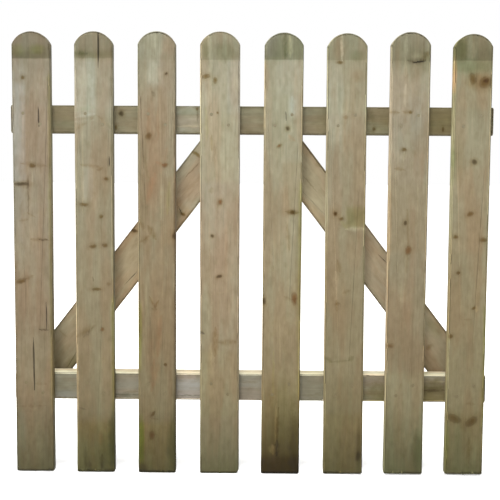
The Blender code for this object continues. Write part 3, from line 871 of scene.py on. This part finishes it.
        (-38, 228, -22, 220, 3.4, OLIVE, 1.0), (-20, 220, 9, 222, 1.8, OLIVE, 0.7),
        (9, 222, 18, 230, 3.4, OLIVE, 1.0), (-14, 150, -14, 90, 2, LIGHT, 0.5)],
     "panels": [
        (-40, -8, 640, 786, ASH, 0.5), (-8, 40, 480, 650, WARM, 0.6), (-40, -8, 520, 640, ASH, 0.25),
        (2, 40, 477, 515, (0.88, 0.92, 0.72), 0.9), (-40, 40, 689, 845, (1.05, 1.10, 1.10), 0.9),
        (2, 40, 420, 472, WARM, 0.7), (-40, 40, 250, 400, WARM, 0.4),
        (-40, 40, -10, 120, (0.97, 0.94, 0.82), 0.9)],
     "patches": [
        (22, 760, 15, 15, (0.92, 0.84, 0.78), 1.0), (-18, 810, 16, 24, RED, 0.4),
        (18, 797, 18, 12, GREEN, 0.5), (-18, 660, 8, 30, LIGHT, 0.5), (18, 500, 18, 26, OLIVE, 0.3),
        (16, 430, 20, 42, PINKISH, 0.8), (31, 56, 8, 60, UMBER, 0.5), (0, 150, 36, 60, OLIVE, 0.3),
        (29, 37, 6, 12, UMBER, 0.8)]},
    {"seed": 7.5, "tint": (0.91, 0.89, 0.91), "pith": (8, 50, -0.010, 0.040), "ring": 4.6,
     "band": (788, 0.35), "left_highlight": 1.0, "edges": ((LIGHT, 0.3), (OLIVE, 0.5)),
     "knots": [
        (1, 693, 3.2, 3.2, 0, "brown"), (-10, 624, 5, 2.6, 0, "brown"), (-5, 486, 3.2, 4.4, 0, "dark"),
        (2, 434, 5.4, 8.5, -10, "red"), (-29, 252, 8, 4.4, 0, "faint"), (-29, 252, 5, 3, 0, "faint")],
     "checks": [(4, 785, 26, 788, 1.4)],
     "marks": [
        (-10, 834, -10, 788, 3, (1.30, 1.34, 1.38), 1.0), (-6, 789, 8, 784, 3, UMBER, 0.9),
        (4, 785, 26, 789, 4, UMBER, 0.8), (23, 789, 32, 806, 4, BROWN, 0.9),
        (2, 796, 22, 798, 4, LIGHT, 0.8), (-10, 786, -9, 760, 3.4, (1.30, 1.34, 1.38), 0.9),
        (-9, 745, -9, 704, 3, (1.30, 1.34, 1.38), 0.9), (-38, 693, -20, 693, 2.8, BROWN, 0.8),
        (-14, 695, 0, 692, 2, BROWN, 0.7), (-10, 619, -10, 604, 4, LIGHT, 0.9),
        (2, 640, 6, 560, 2.2, OLIVE, 0.25), (-27, 589, -8, 586, 2.2, BROWN, 0.7),
        (-1, 512, 1, 440, 1.8, BROWN, 0.6), (0, 430, 0, 392, 2.2, BROWN, 0.5),
        (-10, 130, -9, 60, 2, BROWN, 0.3)],
     "panels": [
        (-40, -12, 600, 786, ASH, 0.3), (-34, 36, 430, 560, TAN, 0.7),
        (-40, 40, -10, 200, (1.12, 1.19, 1.20), 0.9), (-40, 40, 689, 780, (1.07, 1.07, 1.07), 0.9),
        (-34, 30, 560, 620, PINKISH, 0.7)],
     "patches": [
        (-35, 480, 5, 120, ORANGE, 0.5), (27, 48, 14, 48, FOREST, 0.7), (4, 330, 16, 60, PINKISH, 0.7),
        (26, 790, 14, 22, OLIVE, 0.4), (0, 795, 60, 45, OLIVE, 0.45), (-8, 350, 10, 22, LIGHT, 0.6),
        (12, 690, 20, 50, BLUEGREY, 0.4)]},
    {"seed": 8.9, "tint": (0.92, 0.91, 0.88), "pith": (-6, 48, 0.012, 0.035), "ring": 5.2,
     "band": (789, 0.9), "left_highlight": 1.0, "edges": ((GREEN, 0.4), (OLIVE, 0.45)),
     "knots": [
        (-1, 756, 6, 10, 8, "brown"), (22, 749, 10.5, 9.5, 30, "brown"), (24, 753, 4.6, 3.4, 20, "brown"),
        (6, 602, 4.6, 4, 0, "dark"), (1, 504, 6, 4, 25, "brown"), (27, 455, 6, 4.4, 0, "brown"),
        (-25, 461, 4.4, 3.2, 0, "brown"), (-19, 392, 3.4, 3.2, 0, "brown"), (12, 325, 3.6, 3, 50, "brown"),
        (-30, 271, 4, 3.6, 0, "brown"), (-20, 112, 13, 7, -28, "brown"), (13, 106, 12, 7, 38, "brown")],
     "marks": [
        (-3, 834, -3, 794, 6, LIGHT, 0.9), (-6, 303, 8, 303, 1.6, BROWN, 0.5),
        (9, 74, 10, 26, 4, BROWN, 0.6), (2, 141, 18, 141, 2.6, BROWN, 0.5),
        (-14, 105, -12, 40, 2, OLIVE, 0.5), (17, 330, 17, 318, 2.4, CREAM, 0.7)],
     "panels": [
        (-40, -13, 790, 840, (0.86, 0.84, 0.68), 0.9), (-40, 40, 764, 787, (0.92, 0.96, 0.92), 0.9),
        (-30, 34, 700, 740, PINKISH, 0.8), (-24, 30, 430, 590, PINKISH, 0.7),
        (-38, -30, 560, 740, GREENISH, 0.9), (31, 40, 90, 330, MOSS, 0.6), (-38, -30, 590, 625, GREEN, 0.7)],
     "patches": [
        (-25, 808, 15, 28, FOREST, 0.65), (20, 806, 20, 22, FOREST, 0.2), (0, 780, 50, 16, GREEN, 0.7),
        (0, 730, 60, 60, OLIVE, 0.25), (0, 60, 60, 90, LIGHT, 0.7),
        (-35, 762, 6, 38, (1.35, 0.98, 0.80), 1.0), (10, 752, 30, 18, (1.0, 0.80, 0.60), 0.6),
        (0, 90, 36, 50, OLIVE, 0.25), (-24, 610, 14, 50, GREEN, 0.3), (-33, 60, 6, 60, MOSS, 0.5)]},
]

RAIL_LOOKS = {
    "rail_top":
        {"seed": 11.1, "tint": (0.79, 0.775, 0.735), "pith": (4, 40, 0.006, 0.030), "ring": 4.4,
         "knots": [
            (-11, -247, 4.6, 4.4, 40, "dark"), (15, -257, 4, 3, 0, "brown"), (-21, -103, 3, 2.6, 0, "brown"),
            (15, 232, 3.6, 2.8, 0, "brown"), (15, 362, 4, 2.4, 0, "brown")],
         "marks": [
            (12, -141, 11, -99, 1.3, CREAM, 0.7), (-20, -103, 3, -102, 1.6, UMBER, 0.6),
            # the dark line along the whole lower arris is painted shade
            (26, -440, 26, 440, 1.6, UMBER, 0.4)],
         "patches": [
            (-12, -120, 10, 24, GREEN, 0.4), (0, -120, 34, 40, PALE_GREY, 0.9),
            (0, 340, 40, 150, (0.66, 0.64, 0.44), 0.8), (0, 170, 40, 60, (0.68, 0.68, 0.54), 0.75),
            (0, -360, 40, 50, OLIVE, 0.25)]},
    "rail_bottom":
        {"seed": 12.3, "tint": (0.87, 0.855, 0.945), "pith": (-6, 36, -0.006, 0.026), "ring": 4.8,
         # its top face gets painted light from above
         "top_light": 1.0,
         "knots": [(-14, -330, 3.2, 2, 0, "faint")],
         "marks": [
            (18, -144, 17, -97, 1.3, UMBER, 0.8), (12, -245, 10, -216, 1.4, OLIVE, 0.8),
            (-14, 336, -14, 378, 1.8, CREAM, 0.5), (4, 336, 3, 378, 2.2, UMBER, 0.9),
            (17, -262, 17, -214, 2.2, (0.45, 0.50, 0.42), 1.0), (14, 90, 14, 145, 1, BROWN, 0.4),
            # the dark lines along the whole lower arris are painted shade
            (25, -440, 25, -60, 2, UMBER, 0.7), (26, -60, 26, 440, 1.6, UMBER, 0.4),
            (-10, -20, -10, 20, 1.2, BROWN, 0.5)],
         "patches": [
            (6, -120, 32, 42, PALE_GREY, 0.9), (8, 0, 34, 44, ASH, 0.5), (10, 320, 36, 130, OLIVE, 0.95),
            (-8, 357, 14, 28, OLIVE, 0.6), (16, 357, 9, 28, LIGHT, 0.5), (0, 128, 40, 44, OLIVE, 0.4),
            (17, 300, 36, 130, (0.86, 0.82, 0.62), 1.0), (-2, -356, 22, 34, OLIVE, 0.5),
            (27, -238, 8, 30, (0.86, 0.94, 0.95), 0.9), (-20, -120, 8, 30, RED, 0.5),
            (16, -356, 10, 26, BLUEGREY, 0.8)]},
}

# Each brace's front tone is painted light on the face that the pales shade.
BRACE_LOOKS = {
    "brace_left":
        {"seed": 14.2, "tint": (1.22, 1.13, 1.06), "front": PAINTED_BRACE_LIGHT, "contrast": 0.05, "grain": 0.35,
         "pith": (-8, 38, 0.010, 0.045), "ring": 4.8,
         "darker_below": [(-330, -60, (0.56, 0.56, 0.60))],
         "knots": [
            (-26, 252, 10, 3.2, 0, "brown"), (-31, 60, 6, 3, 20, "dark"), (24, 144, 5, 2.6, 0, "brown")],
         "checks": [(19, -36, 23, 0, 0.5), (6, 152, 26, 142, 0.5)],
         "marks": [
            (-16, 203, -11, 243, 0.9, UMBER, 0.6), (-28, -187, -7, -188, 1.4, BROWN, 0.5),
            (-20, -160, -18, -110, 1.2, BROWN, 0.3), (0, 160, 10, 230, 1, BROWN, 0.3)],
         "panels": [
            (-50, 50, 160, 340, (1.10, 1.14, 1.26), 0.9), (-50, 50, -120, 160, (1.02, 0.95, 0.93), 1.0)],
         "patches": [
            (30, -222, 10, 26, OLIVE, 0.7), (0, -230, 36, 40, OLIVE, 0.4), (0, 200, 30, 60, PINKISH, 0.8)]},
    "brace_right":
        {"seed": 15.8, "tint": (1.24, 1.16, 1.10), "front": PAINTED_BRACE_LIGHT, "contrast": 0.05, "grain": 0.35,
         "pith": (10, 42, -0.012, 0.040), "ring": 4.6,
         "darker_below": [(-330, -60, (0.58, 0.52, 0.49))],
         "knots": [(-9, -193, 6, 4, 0, "faint")],
         "checks": [(20, 14, 24, -14, 0.5)],
         "marks": [
            (-4, 223, -2, 184, 1, UMBER, 0.5), (34, 290, 34, 196, 1.6, UMBER, 0.8),
            (34, -60, 34, -210, 1.6, UMBER, 0.6), (10, 60, 14, -60, 1.6, BROWN, 0.2)],
         "panels": [
            (-50, 50, 130, 340, (1.14, 1.12, 1.14), 0.9), (-50, 50, -100, 120, (0.92, 0.87, 0.90), 0.9)],
         "patches": [(22, -170, 14, 26, OLIVE, 0.5), (-10, -190, 24, 40, PINKISH, 0.6)]},
}

# ------------------------ placing boards

BRACE_SLOPE = math.radians(52.4)
BRACE_HALF_WIDTH = 36.25
BRACE_UPPER_AT_FOOT = 181.5         # height of the upper arris at the plumb cut of the foot
BRACE_FLARE = {-1: 3.0, 1: 5.0}     # how much the lower edge spreads towards the foot, left and right brace
BRACE_FLARE_FROM, BRACE_FLARE_RUN = -120.0, 95.0        # where along it that starts, and over what length
PALE_TOP_RISE = 24.0                # height of the round top above its shoulders
PALE_LEANS = (0.0, 0.0, 0.0, -1.7, 1.1, -1.9, 0.4, 0.4)     # how far the head stands to the right of the foot
PALE_WIDTHS = (72.0, 72.5, 71.5, 75.0, 73.5, 75.0, 74.0, 72.0)
PALE_NAIL_HEIGHTS = (677.5, 165.0)
PALE_NAIL_UP, PALE_NAIL_OUT = 10.0, 16.0        # of the outer nail; the inner one is as far down and in
CHIPPED_PALE = 3        # the fourth, at the right corner of its foot
CHIP_WIDTH, CHIP_HEIGHT = 5.0, 10.0


def box_of(node):
    """A CAD piece's box: its corners and its middle in metres, and half its size in millimetres."""
    low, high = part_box(node)
    middle = Vector([(a + b) / 2 for a, b in zip(low, high)])
    return low, high, middle, [(b - a) / 2 / MM for a, b in zip(low, high)]


def add_board(node, matrix, look, groups, half_depth, foot, head, nails=(), spread=None):
    """A board in the place of one CAD piece; foot(u) and head(u) are the outlines of its ends."""
    look = {**PLAIN_LOOK, **look}
    spots = [along for _, along in nails] + [knot[1] for knot in look["knots"]]
    mesh = board_mesh(f"board_{node}", look["half_width"], half_depth, foot, head,
                      board_relief(node, look, nails), spots, spread)
    mesh.materials.append(wood_material(f"wood_{node}", look, groups))
    add_piece(f"board_{node}", mesh, matrix, node)


def build_pale(index, groups):
    node = f"pale_{index + 1}"
    low, high, middle, half_size = box_of(node)
    half_width = PALE_WIDTHS[index] / 2
    foot_up, head_up = (low[2] - GROUND_Z) / MM, (high[2] - GROUND_Z) / MM
    radius = (half_width ** 2 + PALE_TOP_RISE ** 2) / (2 * PALE_TOP_RISE)

    def head(u):
        return head_up - radius + np.sqrt((radius - EASE) ** 2 - u ** 2)

    def foot(u):
        chip = CHIP_WIDTH - half_width + u if index == CHIPPED_PALE else 0.0 * u
        return foot_up + EASE + np.maximum(0.0, chip) * CHIP_HEIGHT / CHIP_WIDTH

    outward = -PALE_NAIL_OUT if index < len(PALE_LOOKS) / 2 else PALE_NAIL_OUT
    nails = []
    for height in PALE_NAIL_HEIGHTS:
        nails += [(outward, height + PALE_NAIL_UP), (-outward, height - PALE_NAIL_UP)]

    ground = Vector((middle.x, middle.y, GROUND_Z))
    about = Vector((0.0, 0.0, middle.z - GROUND_Z))
    lean = math.atan2(PALE_LEANS[index], 2 * half_size[2])
    matrix = (Matrix.Translation(ground + about) @ Matrix.Rotation(lean, 4, "Y")
              @ Matrix.Translation(-about))
    look = {**PALE_LOOKS[index], "darkens_to_ground": True, "half_width": half_width}
    add_board(node, matrix, look, groups, half_size[1], foot, head, nails)


def build_rail(node, groups):
    _, _, middle, (half_length, half_depth, half_width) = box_of(node)

    def foot(u):
        return np.full_like(u, EASE - half_length)

    def head(u):
        return np.full_like(u, half_length - EASE)

    matrix = Matrix.Translation(middle) @ Matrix.Rotation(math.radians(90.0), 4, "Y")
    look = {**RAIL_LOOKS[node], "half_width": half_width}
    add_board(node, matrix, look, groups, half_depth, foot, head)


def build_brace(node, side, groups):
    """A sloping board whose ends are cut plumb and trimmed level, as lines across its own width."""
    low, high, middle, (half_run, half_depth, _) = box_of(node)
    run, climb = math.cos(BRACE_SLOPE), math.sin(BRACE_SLOPE)

    # the middle line starts below the upper arris of the foot, and has climbed by half the brace's run
    foot_x = low[0] if side < 0 else high[0]
    to_middle = abs(middle.x - foot_x)
    below_arris = BRACE_HALF_WIDTH / run
    middle.z = (GROUND_Z + BRACE_UPPER_AT_FOOT * MM - below_arris * MM + to_middle * math.tan(BRACE_SLOPE))
    top = (high[2] - middle.z) / MM
    bottom = (low[2] - middle.z) / MM

    def lower(u):
        return -side * u            # across the board, positive towards the lower edge of either brace

    def foot(u):
        plumb = (-half_run - lower(u) * climb) / run
        level = (bottom + lower(u) * run) / climb
        return np.maximum(plumb + EASE / run, level + EASE / climb)

    def head(u):
        plumb = (half_run - lower(u) * climb) / run
        level = (top + lower(u) * run) / climb
        return np.minimum(plumb - EASE / run, level - EASE / climb)

    def spread(u, v):
        low_side = np.clip(lower(u) / BRACE_HALF_WIDTH, 0.0, 1.0)
        towards_foot = np.clip((BRACE_FLARE_FROM - v) / BRACE_FLARE_RUN, 0.0, 1.0)
        return u - side * low_side * BRACE_FLARE[side] * towards_foot

    turn = Matrix.Rotation(-side * (math.pi / 2 - BRACE_SLOPE), 4, "Y")
    look = {**BRACE_LOOKS[node], "half_width": BRACE_HALF_WIDTH}
    add_board(node, Matrix.Translation(middle) @ turn, look, groups, half_depth, foot, head,
              spread=spread)


# ------------------------ nails

NAIL_HEAD = 3.0
NAIL_SHANK = 1.35
NAIL_GROOVE = 1.22
NAIL_LENGTH = 40.0
NAIL_SEGMENTS = 20
# (radius, distance from the head's face) down the nail, in millimetres
NAIL_PROFILE = ((1.4, 0.02), (2.3, 0.06), (2.85, 0.18), (NAIL_HEAD, 0.45), (NAIL_HEAD, 0.9), (2.8, 1.15),
                (1.6, 1.3), (NAIL_SHANK, 2.2), (NAIL_GROOVE, 3.2), (NAIL_SHANK, 4.0), (NAIL_GROOVE, 5.0),
                (NAIL_SHANK, 5.8), (NAIL_SHANK, 18.0), (NAIL_SHANK, 36.5), (0.75, 38.6),
                (0.12, NAIL_LENGTH))
DULL_ZINC = ((0.100, 0.087, 0.053), (0.145, 0.126, 0.079))
RUST = (0.100, 0.072, 0.042)
# the nails of the lower row are toned darker, as the pales' feet are
NAIL_DRY, NAIL_DARKER = (1.0, 1.0, 1.0), (0.80, 0.75, 0.64)


def steel_material(name, tone):
    """Old galvanised wire gone dull, with a little rust run over it; tone darkens it like its board."""
    material, g, shader = new_material(name)
    place = g.vector("SCALE", g.node("ShaderNodeTexCoord").outputs["Object"], scale=1 / MM)
    spangle = g.noise(place, 0.9, 3.0, 0.6)
    stain = g.noise(place, 0.45, 2.0)
    colour = g.mix(g.smooth(spangle, 0.3, 0.7), *DULL_ZINC)
    colour = g.mix(g.smooth(stain, 0.50, 0.75, 0.0, 0.6), colour, RUST)
    g.feed_named(shader, {"Base Color": g.mix(1.0, colour, tone, "MULTIPLY"), "Specular IOR Level": 0.20,
                          "Metallic": g.smooth(stain, 0.40, 0.70, 0.05, 0.0),
                          "Roughness": g.smooth(spangle, 0.2, 0.8, 0.78, 0.94)})
    g.bump(shader, spangle, 0.4, 0.1)
    return material


def nail_mesh(material):
    """A wire nail turned about Y: face of the head at the origin, point towards +Y."""
    turns = [2 * math.pi * step / NAIL_SEGMENTS for step in range(NAIL_SEGMENTS)]
    points = [(0.0, 0.0, 0.0)]
    for radius, depth in NAIL_PROFILE:
        points += [(radius * math.cos(turn), depth, radius * math.sin(turn)) for turn in turns]
    points.append((0.0, NAIL_LENGTH, 0.0))
    last = len(points) - 1
    tail = last - NAIL_SEGMENTS
    faces = []
    for step in range(NAIL_SEGMENTS):
        after = (step + 1) % NAIL_SEGMENTS
        faces.append((0, 1 + step, 1 + after))
        for near in range(1, tail, NAIL_SEGMENTS):
            far = near + NAIL_SEGMENTS
            faces.append((near + step, far + step, far + after, near + after))
        faces.append((tail + step, last, tail + after))
    mesh = smooth_mesh("wire_nail", [tuple(value * MM for value in point) for point in points], faces)
    mesh.materials.append(material)
    return mesh


def build_nails():
    """One turned nail on each CAD nail: driven from the front in the pales, from behind in the braces."""
    dry = nail_mesh(steel_material("dull_galvanised_steel", NAIL_DRY))
    darker_below = nail_mesh(steel_material("darker_galvanised_steel", NAIL_DARKER))
    for node in sorted(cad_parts):
        if not node.startswith("nail_"):
            continue
        low, high, head, _ = box_of(node)
        from_front = node.startswith("nail_pale_")
        head.y = low[1] if from_front else high[1]
        matrix = Matrix.Translation(head) @ Matrix.Rotation(0.0 if from_front else math.pi, 4, "Z")
        mesh = darker_below if from_front and "_bottom_" in node else dry
        add_piece(f"wire_{node}", mesh, matrix, node)


# ------------------------ stage

WHITE = (1.0, 1.0, 1.0)
AMBIENT = 0.30
FLOOR_COLOUR = (0.94, 0.94, 0.935)
FLOOR_HALF_SIZE, FLOOR_DROP = 30.0, 0.0005
SWEEP = (0.8, 3.0)      # over this distance the floor brightens into the white behind it, as a lit sweep does
SWEEP_GLOW = (0.35, 1.0)
AIM = Vector((0.0, 0.0, 0.45))
# name, place, diameter in metres, watts
SOFT_BOXES = (("front", (-0.9, -4.3, 1.9), 1.8, 130.0), ("left", (-3.0, -2.2, 2.0), 1.6, 75.0),
              ("top", (0.1, -0.7, 3.8), 2.0, 200.0), ("behind", (1.2, 3.4, 2.4), 2.4, 60.0))


def make_floor():
    bm = bmesh.new()
    bmesh.ops.create_grid(bm, x_segments=1, y_segments=1, size=FLOOR_HALF_SIZE)
    mesh = bpy.data.meshes.new("floor")
    bm.to_mesh(mesh)
    bm.free()
    floor = add_object("floor", mesh)
    floor.location.z = CAD_BOX[0][2] - FLOOR_DROP
    material, g, shader = new_material("pale_floor")
    place = g.node("ShaderNodeTexCoord").outputs["Object"]
    glow = g.smooth(g.vector("LENGTH", place), *SWEEP, *SWEEP_GLOW)
    g.feed_named(shader, {"Base Color": opaque(FLOOR_COLOUR), "Roughness": 0.9,
                          "Emission Color": opaque(WHITE), "Emission Strength": glow})
    mesh.materials.append(material)


def make_world():
    """White all round to look at, but dimmer as a light, so that the soft boxes shape the boards."""
    world = bpy.data.worlds.new("studio")
    world.use_nodes = True
    g = Graph(world.node_tree)
    seen = g.node("ShaderNodeLightPath").outputs["Is Camera Ray"]
    g.feed_named(world.node_tree.nodes["Background"],
                 {"Color": opaque(WHITE), "Strength": g.math("MULTIPLY_ADD", seen, 1.0 - AMBIENT, AMBIENT)})
    bpy.context.scene.world = world


def make_lights():
    for name, place, size, power in SOFT_BOXES:
        data = bpy.data.lights.new(name, "AREA")
        data.shape = "DISK"
        data.size = size
        data.energy = power
        light = add_object(name, data)
        light.location = place
        light.rotation_euler = (AIM - light.location).to_track_quat("-Z", "Y").to_euler()


def main():
    make_camera()
    make_floor()
    make_world()
    make_lights()
    bpy.context.scene.view_settings.view_transform = "Standard"
    groups = {"knot": knot_group(), "mark": mark_group(), "patch": patch_group(), "panel": panel_group()}
    for index in range(len(PALE_LOOKS)):
        build_pale(index, groups)
    for node in RAIL_LOOKS:
        build_rail(node, groups)
    build_brace("brace_left", -1, groups)
    build_brace("brace_right", 1, groups)
    build_nails()


main()
